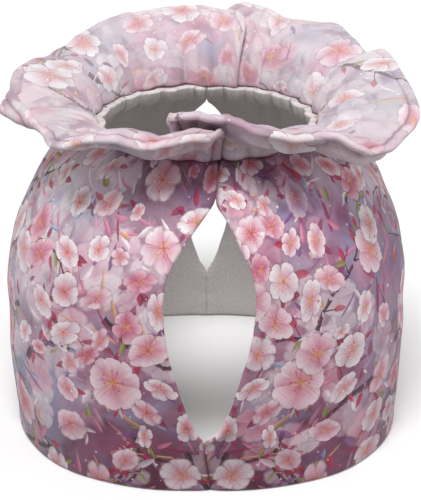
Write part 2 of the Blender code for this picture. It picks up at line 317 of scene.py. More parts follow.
def ruffle_thickness(d):
    roll = ROLL * np.sqrt(np.clip(1 - ((d - HEM / 2) / (HEM / 2)) ** 2, 0, 1))
    roll = np.where(d > HEM / 2, np.maximum(roll, PINCH), roll)
    beyond = np.clip((d - HEM) / 2.0, 0, 1)
    after = PINCH + (LOFT - PINCH) * np.sqrt(1 - (1 - beyond) ** 2)
    after -= (LOFT - RUFFLE_THICK) * smooth((d - HEM - 3.0) / 7.0)
    return np.where(d < HEM, roll, after)


SPREAD = 58.0                                          # where the rim lies across the strip's print
STRIP_RADIUS = 74.0                                    # there its print has its own size: finer at the neck, wider at the rim


def make_ruffle(name, side, table):
    first, last = table[0, 0], table[-1, 0]
    mean = 70.0
    length = rad(last - first) * mean
    near = np.concatenate([EDGE * 1.5, HEM + np.array([-2.4, -1.7, -1.1, -0.65, -0.35, -0.15, 0.0, 0.15, 0.35, 0.65, 1.1, 1.8, 2.6, 3.8])])
    inside = np.linspace(near[-1], length - near[-1], 250)[1:-1]
    s = np.concatenate([near, inside, length - near[::-1]])                 # mm along the strip
    degrees = first + np.degrees(s / mean)
    az = rad(degrees) * side
    base = read(table, degrees, 1) + GATHER_DEPTH * gather(az)
    rim, high = read(table, degrees, 2), read(table, degrees, 3)
    from_end = np.minimum(degrees - first, last - degrees) / CORNER_ROUND
    cut = CORNER_CUT * (1 - np.sqrt(np.maximum(0.0, 1 - (1 - np.minimum(1.0, from_end)) ** 2)))
    k = np.linspace(0, 1, 240)[:, None] * (1 - cut)[None, :]
    out, up = rim - base, high - RUFFLE_LOW
    rise = np.maximum(13.0, up)
    rr = ((1 - k) ** 3 + 3 * k * (1 - k) ** 2) * base + 3 * k * k * (1 - k) * (base + 0.40 * out) + k ** 3 * rim
    zz = ((1 - k) ** 3 * RUFFLE_LOW + 3 * k * (1 - k) ** 2 * (RUFFLE_LOW + 0.42 * rise)
          + 3 * k * k * (1 - k) * (RUFFLE_LOW + 0.95 * rise) + k ** 3 * high)
    zz += read(CREST[side], degrees) * np.sin(np.pi * k ** 3)
    if side < 0:
        curl = read(CURL, degrees)
        rr += curl * np.sin(np.pi * k ** 4)
        zz -= 0.30 * curl * np.sin(np.pi * k ** 4)
    arc = np.concatenate([np.zeros((1, len(s))), np.cumsum(np.hypot(np.diff(rr, axis=0), np.diff(zz, axis=0)), axis=0)])
    total = arc[-1]
    edge_rows = np.concatenate([EDGE * 1.5, HEM + np.array([-2.4, -1.85, -1.35, -0.9, -0.55, -0.3, -0.12, 0.0, 0.12, 0.3, 0.55, 0.9, 1.3, 1.8, 2.5, 3.4, 4.6])])
    base_rows = np.concatenate([FLAT, [1.2, 2.0]])
    rows = len(base_rows) + 22 + len(edge_rows) - 2
    v = np.empty((rows, len(s)))
    for j, t in enumerate(total):
        shrink = min(1.0, t / 24.0)
        low, top = base_rows * shrink, t - edge_rows[::-1] * shrink
        v[:, j] = np.concatenate([low, np.linspace(low[-1], top[0], 22)[1:-1], top])
    r, z = np.empty_like(v), np.empty_like(v)
    for j in range(len(s)):
        r[:, j] = np.interp(v[:, j], arc[:, j], rr[:, j])
        z[:, j] = np.interp(v[:, j], arc[:, j], zz[:, j])
    azg = np.repeat(rad(degrees)[None, :], rows, 0)
    mid = np.stack([side * r * np.sin(azg), -r * np.cos(azg), z], axis=2)
    n = normals_of(mid) * side
    t = v / total[None, :]
    d_rim = (total[None, :] - v)
    d_end = np.minimum(s, length - s)[None, :] * (r / mean)
    # Round the distance at the corners, where rim and end meet
    d = np.minimum(d_rim, d_end)
    a = azg * side
    lift = (1 - t) ** 1.3 * smooth(t / 0.12) * (1.0 * small_gather(a) + 0.45 * np.sin(31 * a + 2 * np.sin(5 * a)))
    lift += 0.34 * np.sin(s * 1.05 + 1.3 * np.sin(s * 0.21))[None, :] * bump(d_rim - HEM, 2.8)
    lift += smooth(t / 0.5) * (0.35 * np.sin(17 * a + 1.2 * np.sin(3 * a)) + 0.22 * np.sin(29 * a + 0.8))
    mid = mid + n * lift[..., None]
    n = normals_of(mid) * side
    thick = ruffle_thickness(d)
    flatter = smooth((degrees - 70.0) / 30.0)[None, :] * smooth(d / 1.6) * (1 - smooth((d - 9.0) / 3.0))
    thick = thick + flatter * 0.62 * (2.6 - thick)
    thick = thick * flat_edge(v, RUFFLE_THICK / 2, 0.5)
    outer = mid + n * thick[..., None] / 2
    loose = smooth((d - HEM + 0.4) / 3.6) * smooth((t - 0.12) / 0.5) * read(HANG[side], degrees)[None, :]
    outer += loose[..., None] * np.stack([0.34 * side * np.sin(azg), -0.34 * np.cos(azg), -np.ones_like(azg)], axis=2)
    inner = mid - n * thick[..., None] / 2
    obj, n_outer = closed_sheet(name, outer, inner, side < 0)
    u = np.repeat((rad(degrees) * STRIP_RADIUS)[None, :], rows, 0)
    def from_rim(grid):
        """How far each point lies from the rim along the cloth, in the print's scale at that radius."""
        steps = np.linalg.norm(np.diff(grid[::-1], axis=0), axis=2)
        radius = np.hypot(grid[..., 0], grid[..., 1])[::-1]
        steps *= 2 * STRIP_RADIUS / (radius[1:] + radius[:-1])
        return np.concatenate([np.zeros((1, len(s))), np.cumsum(steps, axis=0)])[::-1]

    # The strip is doubled: its print runs over the rim
    rim_line = 0.5 * (outer[-1] + inner[-1])
    outer_line, inner_line = np.concatenate([outer[:-1], rim_line[None]]), np.concatenate([inner[:-1], rim_line[None]])
    uv = np.stack([u, SPREAD + from_rim(outer_line)], axis=2)
    uv_inner = np.stack([u, SPREAD - from_rim(inner_line)], axis=2)
    cut_area = float(np.trapz(total, s * 84.0 / mean))
    front = 0.18 + 0.82 * smooth((86.0 - degrees) / 26.0)[None, :]
    # Painted shade: a dark line in the hem's stitched groove, strongest at the front, and darker at the neck
    seam_shade = 1 - front * (0.27 * bump(d - HEM, 0.55) + 0.08 * bump(d - HEM, 1.8)) - 0.35 * bump(v, 1.2)
    return dict(obj=obj, uv=uv, uv_inner=uv_inner, turn=side < 0, n_outer=n_outer, azimuth=azg, z=z, side=side, mid=mid, normal=n,
                seam_shade=seam_shade,
                d=d, d_rim=d_rim, d_end=d_end, s=s, thick=thick, size=(float(length * 84 / mean) * MM, float(total.max()) * MM, cut_area * MM * MM))


def make_stitches(name, ruffle, row_distance=HEM, pitch=2.9, length=2.0, radius=0.18):
    """A line of topstitches in the groove, on both faces of a strip, as one mesh."""
    d = ruffle["d"]
    cols = d.shape[1]
    row = int(np.argmin(np.abs(np.median(ruffle["d_rim"], axis=1) - row_distance)))
    inside = np.nonzero(ruffle["d_end"][row] > row_distance + 0.4)[0]
    line, normal, thick = (ruffle[k][row, inside] for k in ("mid", "normal", "thick"))
    run = np.concatenate([[0], np.cumsum(np.linalg.norm(np.diff(line, axis=0), axis=1))])
    ring = 6
    profile = np.array([(-1.0, 0.15), (-0.82, 0.75), (0.0, 1.0), (0.82, 0.75), (1.0, 0.15)])
    verts, faces = [], []
    centres = np.arange(pitch, run[-1] - pitch, pitch)
    for sign in (1, -1):
        for c in centres:
            def at(x, values):
                return np.array([np.interp(x, run, values[:, k]) for k in range(3)])
            ends = np.array([c - length / 2, c, c + length / 2])
            p0, pc, p1 = (at(x, line) for x in ends)
            n = at(c, normal) * sign
            n /= np.linalg.norm(n)
            tangent = (p1 - p0) / np.linalg.norm(p1 - p0)
            b = np.cross(tangent, n)
            lift = float(np.interp(c, run, thick)) / 2 + 0.04
            first = len(verts)
            for along, wide in profile:
                bow = 0.10 * (1 - along * along)
                centre = pc + tangent * along * length / 2 + n * (lift + bow - 0.10)
                for k in range(ring):
                    a = 2 * math.pi * k / ring
                    verts.append(centre + (b * math.cos(a) + n * 0.7 * math.sin(a)) * radius * wide)
            for i in range(len(profile) - 1):
                for k in range(ring):
                    q0, q1 = first + i * ring + k, first + i * ring + (k + 1) % ring
                    faces.append((q0, q1, q1 + ring, q0 + ring))
            faces.append(tuple(first + k for k in reversed(range(ring))))
            faces.append(tuple(first + (len(profile) - 1) * ring + k for k in range(ring)))
    mesh = bpy.data.meshes.new(name)
    mesh.from_pydata([tuple(x * MM) for x in verts], [], faces)
    mesh.update()
    mesh.shade_smooth()
    obj = bpy.data.objects.new(name, mesh)
    bpy.context.scene.collection.objects.link(obj)
    return obj


panel_left = make_panel("body_left", -1)
panel_right = make_panel("body_right", 1)
ruffle_left = make_ruffle("frill_left", -1, RUFFLE_LEFT)
ruffle_right = make_ruffle("frill_right", 1, RUFFLE_RIGHT)
stitches_left = make_stitches("stitches_left", ruffle_left)
stitches_right = make_stitches("stitches_right", ruffle_right)


# =========================================================================================================
#  Print: blossoms, twigs, leaves and brush dabs laid out in millimetres on the flat cloth. Each face carries
#  the local coordinates of the few motifs that cross it, which the material paints from the bottom up.
# =========================================================================================================
FAR = 9.0


def make_item(order, kind, u, v, along, across, angle, ident, reach=(1.0, 1.0)):
    """A motif at (u, v): along and across are its half sizes, angle its turn, reach its local half extents."""
    c, s = math.cos(angle), math.sin(angle)
    matrix = np.array([[c / along, s / along], [-s / across, c / across]])
    bound = math.hypot(along * reach[0], across * reach[1]) * 1.05
    return dict(order=order, kind=kind, at=(u, v), matrix=matrix, ident=ident, reach=reach, bound=bound)


def flower(order, u, v, size, angle, squash, squash_angle, ident):
    """A blossom: squash foreshortens it along squash_angle, as if it faced partly away."""
    c, s = math.cos(squash_angle), math.sin(squash_angle)
    tilt = np.array([[c, s], [-s, c]]).T @ np.diag([1 / squash, 1.0]) @ np.array([[c, s], [-s, c]])
    c, s = math.cos(angle), math.sin(angle)
    matrix = np.array([[c, s], [-s, c]]) @ tilt / size
    return dict(order=order, kind="flower", at=(u, v), matrix=matrix, ident=ident, reach=(1.12, 1.12), bound=size * 1.2)


def compose(seed, width, height, twigs, crowd, size=(7.5, 14.0), pale=0.45, keep=None, touches=1.0):
    """Motifs on a piece of cloth width x height: twigs with blossoms, buds and leaves beside them, then blossoms
    and dabs between. crowd(u, v) from 0 to 1 is how closely they stand."""
    rng = np.random.default_rng(seed)
    items = list(keep or [])
    placed = [(i["at"][0], i["at"][1], 1 / abs(np.linalg.det(i["matrix"])) ** 0.5) for i in items if i["kind"] == "flower"]

    def free(u, v, r, share):
        return all((u - a) ** 2 + (v - b) ** 2 > (share * (r + q)) ** 2 for a, b, q in placed)

    def add_flower(u, v, r, share, order=None):
        if not (-6 < u < width + 6 and -6 < v < height + 6) or not free(u, v, r, share):
            return False
        if keep is not None and u < 50 and v < 56:
            return False
        x = rng.random()
        kind = 0 if x < pale else 1 if x < pale + 0.36 else 2 if x < pale + 0.50 else 3
        items.append(flower(order if order is not None else 400 + rng.random() * 100, u, v, r, rng.uniform(0, 2 * math.pi),
                            rng.uniform(0.50, 1.0), rng.uniform(0, math.pi), kind + 0.02 + 0.96 * rng.random()))
        placed.append((u, v, r))
        # Deep accents in the gaps beside it
        for _ in range(int(rng.integers(0, 3) * touches + 0.5)):
            q = rng.uniform(0, 2 * math.pi)
            dab(390, u + math.cos(q) * r * 0.82, v + math.sin(q) * r * 0.82, rng.uniform(2.2, 4.2), rng.uniform(1.2, 2.2), q, rng.choice([0, 6, 6]))
        return True

    def dab(order, u, v, a, b, angle, kind):
        if keep is not None and u < 46 and v < 52:
            return
        items.append(make_item(order, "dab", u, v, a, b, angle, kind + 0.02 + 0.96 * rng.random(), (1.1, 1.1)))

    # Large soft touches under everything
    for _ in range(int(width * height / 280)):
        u, v = rng.uniform(-5, width + 5), rng.uniform(-5, height + 5)
        a = rng.uniform(7, 17)
        items.append(make_item(rng.random(), "soft", u, v, a, a * rng.uniform(0.45, 0.9), rng.uniform(0, math.pi),
                               int(rng.integers(0, 8)) + 0.02 + 0.96 * rng.random(), (1.15, 1.15)))
    # Long strokes of the brush
    for _ in range(int(touches * width * height / 150)):
        u, v = rng.uniform(0, width), rng.uniform(0, height)
        a = rng.uniform(4, 11)
        items.append(make_item(5 + rng.random(), "soft" if rng.random() < 0.4 else "dab", u, v, a, rng.uniform(0.5, 1.5),
                               rng.normal(0.9, 0.5), int(rng.choice([1, 2, 5, 6, 6, 2, 7])) + 0.02 + 0.96 * rng.random(), (1.1, 1.3)))
    # Pale ghost blossoms, far away in the painting
    for _ in range(int(width * height / 250)):
        u, v = rng.uniform(0, width), rng.uniform(0, height)
        if rng.random() < 0.35 + 0.65 * crowd(u, v):
            items.append(dict(flower(10 + rng.random(), u, v, rng.uniform(8, 15), rng.uniform(0, 6.28), rng.uniform(0.6, 1),
                                     rng.uniform(0, 3.1), int(rng.choice([4, 4, 1, 2, 0])) + 0.02 + 0.96 * rng.random()), kind="ghost"))
    for _ in range(twigs):
        u, v = rng.uniform(0.02 * width, 0.98 * width), rng.uniform(0.04 * height, 0.85 * height)
        heading = rng.uniform(0, 2 * math.pi)
        thick, steps = rng.uniform(0.85, 1.75), int(rng.integers(7, 14))
        bend = rng.normal(0, 0.12)
        for i in range(steps):
            step = rng.uniform(5.0, 8.0)
            nu, nv = u + step * math.cos(heading), v + step * math.sin(heading)
            w = thick * (1 - 0.75 * i / steps)
            if not (keep is not None and min(u, nu) < 44 and min(v, nv) < 50):
                items.append(dict(order=100 + rng.random(), kind="twig", at=((u + nu) / 2, (v + nv) / 2), ident=w,
                                  matrix=np.array([[math.cos(heading) / (step / 2 + 0.25), math.sin(heading) / (step / 2 + 0.25)],
                                                   [-math.sin(heading), math.cos(heading)]]),
                                  reach=(1.05, w * 1.5 + 0.6), bound=step / 2 + w * 1.5 + 1.2))
                sidewards = heading + rng.choice([-1, 1]) * rng.uniform(0.6, 1.3)
                if rng.random() < 0.75:
                    r = rng.uniform(*size)
                    if rng.random() < 0.35 + crowd(nu, nv):
                        add_flower(nu + math.cos(sidewards) * r * 0.75, nv + math.sin(sidewards) * r * 0.75, r, 0.50)
                if rng.random() < 0.55:
                    # a stalk and a bud at its end
                    q = heading + rng.choice([-1, 1]) * rng.uniform(0.5, 1.2)
                    long = rng.uniform(4, 8)
                    items.append(dict(order=110 + rng.random(), kind="twig", at=(nu + math.cos(q) * long / 2, nv + math.sin(q) * long / 2),
                                      ident=0.28, matrix=np.array([[math.cos(q) / (long / 2), math.sin(q) / (long / 2)],
                                                                   [-math.sin(q), math.cos(q)]]),
                                      reach=(1.05, 1.0), bound=long / 2 + 1.2))
                    dab(300 + rng.random(), nu + math.cos(q) * (long + 1.8), nv + math.sin(q) * (long + 1.8),
                        rng.uniform(2.4, 3.8), rng.uniform(1.3, 2.0), q, 0)
                if rng.random() < 0.4:
                    q = heading + rng.choice([-1, 1]) * rng.uniform(0.4, 1.4)
                    dab(310 + rng.random(), nu + math.cos(q) * 3.2, nv + math.sin(q) * 3.2, rng.uniform(2.2, 4.0), rng.uniform(0.9, 1.5), q, 3)
            u, v = nu, nv
            heading += bend + rng.normal(0, 0.22)
    # Blossoms between, close where the cloth is crowded
    for _ in range(5200):
        u, v = rng.uniform(-4, width + 4), rng.uniform(-4, height + 4)
        density = crowd(u, v)
        if rng.random() < density:
            add_flower(u, v, rng.uniform(*size) * rng.choice([1.0, 1.0, 0.72]), 0.46 + 0.62 * (1 - density) ** 1.5)
    # Loose petals and brush touches
    for _ in range(int(touches * width * height / 130)):
        u, v = rng.uniform(0, width), rng.uniform(0, height)
        kind = int(rng.choice([0, 1, 2, 2, 3, 4, 5, 6, 7, 1]))
        a = rng.uniform(1.6, 4.6)
        dab(200 + rng.random() * 100 if rng.random() < 0.7 else 505, u, v, a, a * rng.uniform(0.3, 0.6), rng.uniform(0, 6.28), kind)
    return items


def paint(piece, face_uv, first_face, items, store):
    """Write each motif into the faces that it crosses, lowest first. store maps kind to (attributes, array)."""
    low, high = face_uv.min(axis=1), face_uv.max(axis=1)
    for item in sorted(items, key=lambda i: i["order"]):
        if item["kind"] not in store:
            continue
        array, used = store[item["kind"]]
        at, b = np.array(item["at"]), item["bound"]
        gap = np.maximum(np.maximum(low - at, at - high), 0)
        hit = np.nonzero((gap ** 2).sum(axis=1) < b * b)[0]
        if not len(hit):
            continue
        local = (face_uv[hit] - at) @ item["matrix"].T                    # faces x corners x 2
        ex, ey = item["reach"]
        lo, hi = local.min(axis=1), local.max(axis=1)
        touch = (lo[:, 0] < ex) & (hi[:, 0] > -ex) & (lo[:, 1] < ey) & (hi[:, 1] > -ey)
        hit, local = hit[touch], local[touch]
        if not len(hit):
            continue
        face = hit + first_face
        value = np.concatenate([local, np.full(local.shape[:2] + (1,), item["ident"])], axis=2)
        full = used[face] >= len(array)
        over = face[full]
        if len(over):
            for k in range(len(array) - 1):
                array[k][over] = array[k + 1][over]
            used[over] -= 1
        for k in range(len(array)):
            now = used[face] == k
            array[k][face[now]] = value[now]
        used[face] += 1


LAYERS = {"soft": 3, "ghost": 3, "twig": 2, "dab": 3, "flower": 4}


def write_print(piece, layouts):
    """layouts: list of (grid uv, items, which) with which 0 for the outer grid and 1 for the inner."""
    mesh = piece["obj"].data
    faces = len(mesh.polygons)
    store = {}
    for kind, count in LAYERS.items():
        arrays = [np.full((faces, 4, 3), FAR, np.float32) for _ in range(count)]
        for a in arrays:
            a[..., 2] = 0.5
        store[kind] = (arrays, np.zeros(faces, int))
    for grid, items, which in layouts:
        turn = piece["turn"] if which == 0 else not piece["turn"]
        paint(piece, corner_order(grid, turn), 0 if which == 0 else piece["n_outer"], items, store)
    for kind, (arrays, _) in store.items():
        for k, array in enumerate(arrays):
            attribute = mesh.attributes.new(f"{kind}_{k}", "FLOAT_VECTOR", "CORNER")
            attribute.data.foreach_set("vector", array.ravel())


def write_common(piece):
    """Cloth coordinates in millimetres as a UV map, and the layout for baking."""
    mesh = piece["obj"].data
    flat = np.concatenate([corner_order(piece["uv"], piece["turn"]).reshape(-1, 2),
                           corner_order(piece.get("uv_inner", piece["uv"]), not piece["turn"]).reshape(-1, 2)])
    mesh.uv_layers.new(name="cloth").data.foreach_set("uv", flat.astype(np.float32).ravel())
    rows, cols = piece["uv"].shape[:2]
    uu = (piece["uv"][..., 0] - piece["uv"][..., 0].min()) / np.ptp(piece["uv"][..., 0])
    vv = (piece["uv"][..., 1] - piece["uv"][..., 1].min()) / np.ptp(piece["uv"][..., 1])
    lay = np.stack([0.01 + 0.98 * uu, 0.01 + 0.48 * vv], axis=2)
    bake = np.concatenate([corner_order(lay, piece["turn"]).reshape(-1, 2),
                           corner_order(lay + np.array([0.0, 0.5]), not piece["turn"]).reshape(-1, 2)])
    mesh.uv_layers.new(name="OFBake").data.foreach_set("uv", bake.astype(np.float32).ravel())
    x, y = flat[:, 0], flat[:, 1]
    drift_x, drift_y = 7 * np.sin(x / 23.0 + 1.7 * np.sin(y / 31.0)), 6 * np.sin(y / 19.0 + 1.4 * np.sin(x / 27.0) + 2)
    hair = np.stack([0.75 * (y + drift_y) + 1.2 * (x + drift_x), 0.14 * (y + drift_y) - 0.10 * (x + drift_x)], axis=1)
    mesh.uv_layers.new(name="hair").data.foreach_set("uv", hair.astype(np.float32).ravel())
    mesh.uv_layers["cloth"].active = True


def linear(hexed):
    c = [int(hexed[i:i + 2], 16) / 255 for i in (1, 3, 5)]
    return np.array([x / 12.92 if x <= 0.04045 else ((x + 0.055) / 1.055) ** 2.4 for x in c])


def write_wash(piece, base, spots, inner_base=None, shading_by_height=None):
    """Colour of the ground, soft spots of colour on a base: azimuth, height, radius in mm, strength, colour. The last
    argument is painted light and shade: how light the whole print is at each height. The painted seam shade is written
    too."""
    x, z = np.abs(piece["azimuth"]) * 84.0, piece["z"]
    colour = np.ones(x.shape + (3,)) * linear(base)
    weight = np.ones(x.shape + (1,)) * 0.55
    total = colour * weight
    for az, height, r, strength, hexed in spots:
        w = strength * np.exp(-(((x - rad(az) * 84.0) / r) ** 2 + ((z - height) / (0.85 * r)) ** 2))[..., None]
        total = total + w * linear(hexed)
        weight = weight + w
    colour = total / weight
    painted_shading = np.ones(x.shape) if shading_by_height is None else np.interp(z, *shading_by_height)
    both = np.concatenate([corner_order(painted_shading, piece["turn"]).ravel(), corner_order(painted_shading, not piece["turn"]).ravel()])
    piece["obj"].data.attributes.new("painted_shading", "FLOAT", "CORNER").data.foreach_set("value", both.astype(np.float32))
    # Painted shade along the seams, the hem's groove and the neck
    both = np.concatenate([corner_order(piece["seam_shade"], piece["turn"]).ravel(), corner_order(piece["seam_shade"], not piece["turn"]).ravel()])
    piece["obj"].data.attributes.new("seam_shade", "FLOAT", "CORNER").data.foreach_set("value", both.astype(np.float32))
    values = np.concatenate([corner_order(colour, piece["turn"]).reshape(-1, 3),
                             corner_order(colour if inner_base is None else colour * 0 + linear(inner_base), not piece["turn"]).reshape(-1, 3)])
    rgba = np.concatenate([values, np.ones((len(values), 1))], axis=1).astype(np.float32)
    piece["obj"].data.attributes.new("wash", "FLOAT_COLOR", "CORNER").data.foreach_set("color", rgba.ravel())


def crowd_of(spots, base):
    """Crowding made from soft spots: (u, v, radius, change)."""
    def crowd(u, v):
        return min(1.0, max(0.0, base + sum(k * math.exp(-((u - a) ** 2 + (v - b) ** 2) / r ** 2) for a, b, r, k in spots)))
    return crowd


PANEL_W, PANEL_H = math.pi * PRINT_RADIUS, float(MERIDIAN[-1])
left_items = compose(11, PANEL_W, PANEL_H, 19, crowd_of([(108, 122, 30, -0.6), (98, 26, 28, -0.6), (205, 100, 40, -0.3),
                                                         (30, 74, 40, 0.22), (150, 60, 40, 0.15), (22, 14, 22, -0.15)], 0.33))
mirrored = [i for i in left_items if i["at"][0] < 50 and i["at"][1] < 56]
right_items = compose(29, PANEL_W, PANEL_H, 19, crowd_of([(84, 98, 28, -0.8), (125, 120, 34, -0.4), (220, 60, 40, -0.3),
                                                          (28, 104, 32, 0.30), (62, 60, 26, 0.15)], 0.33), keep=mirrored)
write_print(panel_left, [(panel_left["uv"], left_items, 0)])
write_print(panel_right, [(panel_right["uv"], right_items, 0)])
write_common(panel_left)
write_common(panel_right)
# Painted light and shade by height, a multiplier on the print: darker towards the hem and under the ruffle at the neck,
# lighter on the shoulder
SHADING_BY_HEIGHT = ([0, 12, 40, 60, 88, 102, 112, 121, 129], [0.56, 0.60, 0.72, 0.76, 0.72, 0.90, 1.06, 1.02, 0.76])
write_wash(panel_left, "#C094AC", [
    (70, 112, 38, 3.8, "#EAE7EB"), (90, 82, 36, 2.4, "#DCD2DC"), (40, 94, 24, 1.6, "#DACCD6"), (54, 74, 22, 1.2, "#CDBBD0"), (68, 32, 32, 4.2, "#B4D2EC"), (12, 10, 26, 1.9, "#8E3F63"),
    # the spot at azimuth 20, height 125 is painted shade under the front of the ruffle
    (14, 76, 10, 1.8, "#96408E"), (34, 50, 22, 0.9, "#C27C9C"), (20, 125, 17, 2.6, "#8C7084"), (34, 14, 20, 1.2, "#A34D70"),
    (130, 40, 34, 1.3, "#9C5F88"), (122, 108, 30, 1.0, "#B9B4CC"), (160, 84, 30, 1.2, "#C2789A"), (166, 26, 30, 1.2, "#9DAFCB"),
    (100, 18, 26, 1.0, "#A66C90")], shading_by_height=SHADING_BY_HEIGHT)
write_wash(panel_right, "#BD90AA", [
    # the spot at azimuth 18, height 125 is painted shade under the front of the ruffle
    (18, 125, 15, 2.4, "#8E6C86"), (54, 92, 24, 2.2, "#9894B8"), (82, 106, 28, 2.2, "#C4BED2"), (34, 84, 18, 1.2, "#D4C6D4"), (40, 30, 24, 1.4, "#AC5C80"), (66, 74, 24, 1.6, "#A9A6C8"),
    (12, 10, 26, 1.9, "#8E3F63"), (74, 34, 26, 1.5, "#9A8AB1"), (30, 64, 18, 1.0, "#C07A9A"), (64, 122, 22, 1.6, "#C6B8CA"),
    (112, 60, 30, 1.2, "#BE93AD"), (140, 110, 30, 1.1, "#C3BCCA"), (150, 34, 30, 1.2, "#9C597E"), (170, 84, 28, 1.2, "#9594B9")],
    shading_by_height=SHADING_BY_HEIGHT)

for piece, seed, spots in ((ruffle_left, 41, [(-4, 148, 18, 1.2, "#D9A6B6"), (24, 150, 18, 1.0, "#D6BCC6"), (60, 150, 30, 1.0, "#DDD3D6"),
                                                  (100, 150, 30, 0.8, "#D8B9C5"), (118, 146, 11, 1.6, "#A9AEBC"), (141, 150, 12, 1.3, "#A7A8B8"), (160, 150, 20, 0.9, "#D9B4C3"),
                                                  (180, 153, 14, 1.8, "#C67C98")]),
                            (ruffle_right, 57, [(0, 148, 20, 1.6, "#B98FB0"), (30, 150, 20, 1.0, "#D3B2C0"), (60, 150, 26, 0.9, "#D9C6CE"),
                                                   (74, 150, 10, 1.5, "#AEB2C0"), (96, 150, 22, 0.9, "#DDD0D6"), (128, 148, 12, 1.4, "#BCBDCB"), (160, 150, 26, 0.9, "#DDB9C7")])):
    wide = float(np.ptp(piece["uv"][..., 0])) + 4
    shift = np.array([float(piece["uv"][..., 0].min()) - 2, 0.0])
    spread = compose(seed, wide, 2 * SPREAD, 6, crowd_of([(20, 70, 40, 0.2), (wide - 20, 30, 40, 0.15)], 0.10), (9.5, 16.0), 0.45,
                     touches=0.12)
    write_print(piece, [(piece["uv"] - shift, spread, 0), (piece["uv_inner"] - shift, spread, 1)])
    write_common(piece)
    write_wash(piece, "#DDD1D6", spots)


# =========================================================================================================
#  Materials
# =========================================================================================================
class Net:
    """Short ways to add shader nodes. Cycles works through nodes in the order of their making and holds what is
    still needed on a small stack, but puts a change of socket type last. So what a motif needs stays in floats
    and colours, with no vector turned into a colour or a point on the way."""

    def __init__(self, tree):
        self.nodes, self.links = tree.nodes, tree.links

    def put(self, socket, value):
        if isinstance(value, bpy.types.NodeSocket):
            self.links.new(value, socket)
        elif value is not None:
            if hasattr(socket.default_value, "__len__") and not hasattr(value, "__len__"):
                value = (value,) * len(socket.default_value)
            elif hasattr(socket.default_value, "__len__") and len(value) == 3 and len(socket.default_value) == 4:
                value = (*value, 1.0)
            socket.default_value = value

    def node(self, kind, **settings):
        n = self.nodes.new(kind)
        for k, v in settings.items():
            setattr(n, k, v)
        return n

    def m(self, op, a, b=None, c=None):
        n = self.node("ShaderNodeMath", operation=op)
        for socket, value in zip(n.inputs, (a, b, c)):
            self.put(socket, value)
        return n.outputs[0]

    def over0(self, a):
        return self.m("MAXIMUM", a, 0.0)

    def v(self, op, a, b=None, scale=None):
        n = self.node("ShaderNodeVectorMath", operation=op)
        self.put(n.inputs[0], a)
        if b is not None:
            self.put(n.inputs[1], b)
        if scale is not None:
            self.put(n.inputs["Scale"], scale)
        return n.outputs["Value"] if op in ("LENGTH", "DOT_PRODUCT", "DISTANCE") else n.outputs["Vector"]

    def split(self, a):
        n = self.node("ShaderNodeSeparateXYZ")
        self.put(n.inputs[0], a)
        return n.outputs

    def parts(self, colour):
        n = self.node("ShaderNodeSeparateColor", mode="RGB")
        self.put(n.inputs[0], colour)
        return n.outputs

    def grey(self, a):
        n = self.node("ShaderNodeCombineColor", mode="RGB")
        for socket in n.inputs:
            self.put(socket, a)
        return n.outputs[0]

    def far(self, a, b):
        return self.m("SQRT", self.m("MULTIPLY_ADD", a, a, self.m("MULTIPLY", b, b)))

    def join(self, x, y, z=0.0):
        n = self.node("ShaderNodeCombineXYZ")
        for socket, value in zip(n.inputs, (x, y, z)):
            self.put(socket, value)
        return n.outputs[0]

    def mix(self, factor, a, b, mode="MIX"):
        n = self.node("ShaderNodeMix", data_type="RGBA", blend_type=mode)
        self.put(n.inputs[0], factor)
        self.put(n.inputs[6], a)
        self.put(n.inputs[7], b)
        return n.outputs[2]

    def step(self, x, low, high, a=0.0, b=1.0):
        n = self.node("ShaderNodeMapRange", interpolation_type="SMOOTHSTEP", clamp=False)
        for socket, value in zip(n.inputs, (x, low, high, a, b)):
            self.put(socket, value)
        return n.outputs[0]

    def ramp(self, x, colours, kind="CONSTANT"):
        n = self.node("ShaderNodeValToRGB")
        n.color_ramp.interpolation = kind
        while len(n.color_ramp.elements) < len(colours):
            n.color_ramp.elements.new(0.5)
        for i, (element, hexed) in enumerate(zip(n.color_ramp.elements, colours)):
            element.position = i / len(colours) if kind == "CONSTANT" else i / (len(colours) - 1)
        for element, hexed in zip(n.color_ramp.elements, colours):
            element.color = (*linear(hexed), 1.0)
        self.put(n.inputs[0], x)
        return n.outputs[0]

    def noise(self, vector, scale, detail=2.0, rough=0.5, colour=False, seed=None, distortion=0.0):
        n = self.node("ShaderNodeTexNoise", noise_dimensions="3D" if seed is None else "4D")
        self.put(n.inputs["Vector"], vector)
        n.inputs["Scale"].default_value = scale
        n.inputs["Detail"].default_value = detail
        n.inputs["Roughness"].default_value = rough
        n.inputs["Distortion"].default_value = distortion
        if seed is not None:
            n.inputs["W"].default_value = seed
        return n.outputs["Color" if colour else "Fac"]

    def streaks(self, w, detail=2.0):
        n = self.node("ShaderNodeTexNoise", noise_dimensions="1D")
        self.put(n.inputs["W"], w)
        n.inputs["Scale"].default_value = 1.0
        n.inputs["Detail"].default_value = detail
        return n.outputs["Fac"]

    def hash(self, w):
        n = self.node("ShaderNodeTexWhiteNoise", noise_dimensions="1D")
        self.put(n.inputs["W"], w)
        return n.outputs["Value"], n.outputs["Color"]

    def call(self, group, **values):
        n = self.node("ShaderNodeGroup", node_tree=group)
        for k, value in values.items():
            self.put(n.inputs[k], value)
        return n.outputs[0]


def new_group(name, sockets):
    tree = bpy.data.node_groups.new(name, "ShaderNodeTree")
    for label, kind in sockets:
        tree.interface.new_socket(name=label, in_out="INPUT", socket_type=kind)
    tree.interface.new_socket(name="Colour", in_out="OUTPUT", socket_type="NodeSocketColor")
    start, end = tree.nodes.new("NodeGroupInput"), tree.nodes.new("NodeGroupOutput")
    return tree, Net(tree), start.outputs, end.inputs[0]


